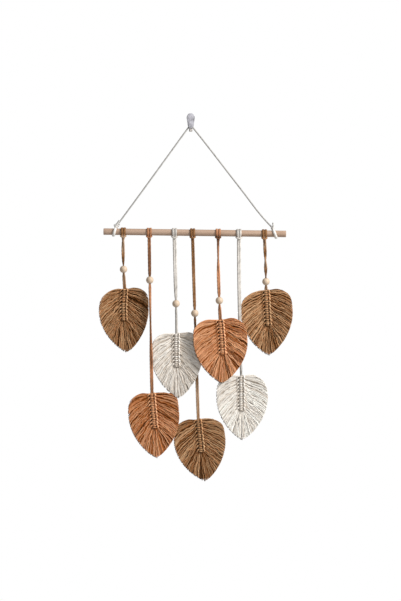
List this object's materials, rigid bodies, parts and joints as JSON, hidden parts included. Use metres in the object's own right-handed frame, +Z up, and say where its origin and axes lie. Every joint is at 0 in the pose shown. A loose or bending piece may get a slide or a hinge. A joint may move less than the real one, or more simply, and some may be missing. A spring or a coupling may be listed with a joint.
{
  "type": "macrame leaf wall hanging with wooden dowel and wall hook",
  "caption": "Wall hanging of knotted, combed cotton leaves on beaded cords tied to a wooden dowel that hangs by a thin cord from a clear adhesive hook.",
  "frame": {"origin": "middle of the back of the hook's adhesive strip, where it sticks to the wall", "axes": "+Z up, +X to the right as seen from the room, -Y out of the wall towards the room"},
  "size_m": [0.4331, 0.0328, 0.8088],
  "materials": {
    "cotton_brown": "combed cotton, matte",
    "cotton_rust": "combed cotton, matte",
    "cotton_white": "combed cotton, matte",
    "cotton_hanger": "twisted cotton, matte",
    "bead_wood": "plain sanded",
    "dowel_wood": "plain sanded",
    "hook_plastic": "clear, glossy",
    "strip_adhesive": "soft foam with film"
  },
  "bodies": {
    "root": {"hook": "hook_plastic", "hook_strip": "strip_adhesive", "hanger_cord": "cotton_hanger", "hanger_tie_left": "cotton_hanger", "hanger_tie_right": "cotton_hanger", "dowel": "dowel_wood", "strand_1": "cotton_brown", "strand_2": "cotton_rust", "strand_3": "cotton_white", "strand_4": "cotton_brown", "strand_5": "cotton_rust", "strand_6": "cotton_white", "strand_7": "cotton_brown", "bead_1": "bead_wood", "bead_2": "bead_wood", "bead_3": "bead_wood", "bead_4": "bead_wood", "bead_5": "bead_wood", "bead_6": "bead_wood", "bead_7": "bead_wood", "leaf_1": "cotton_brown", "leaf_2": "cotton_rust", "leaf_3": "cotton_white", "leaf_4": "cotton_brown", "leaf_5": "cotton_rust", "leaf_6": "cotton_white", "leaf_7": "cotton_brown"}
  },
  "joints": []
}
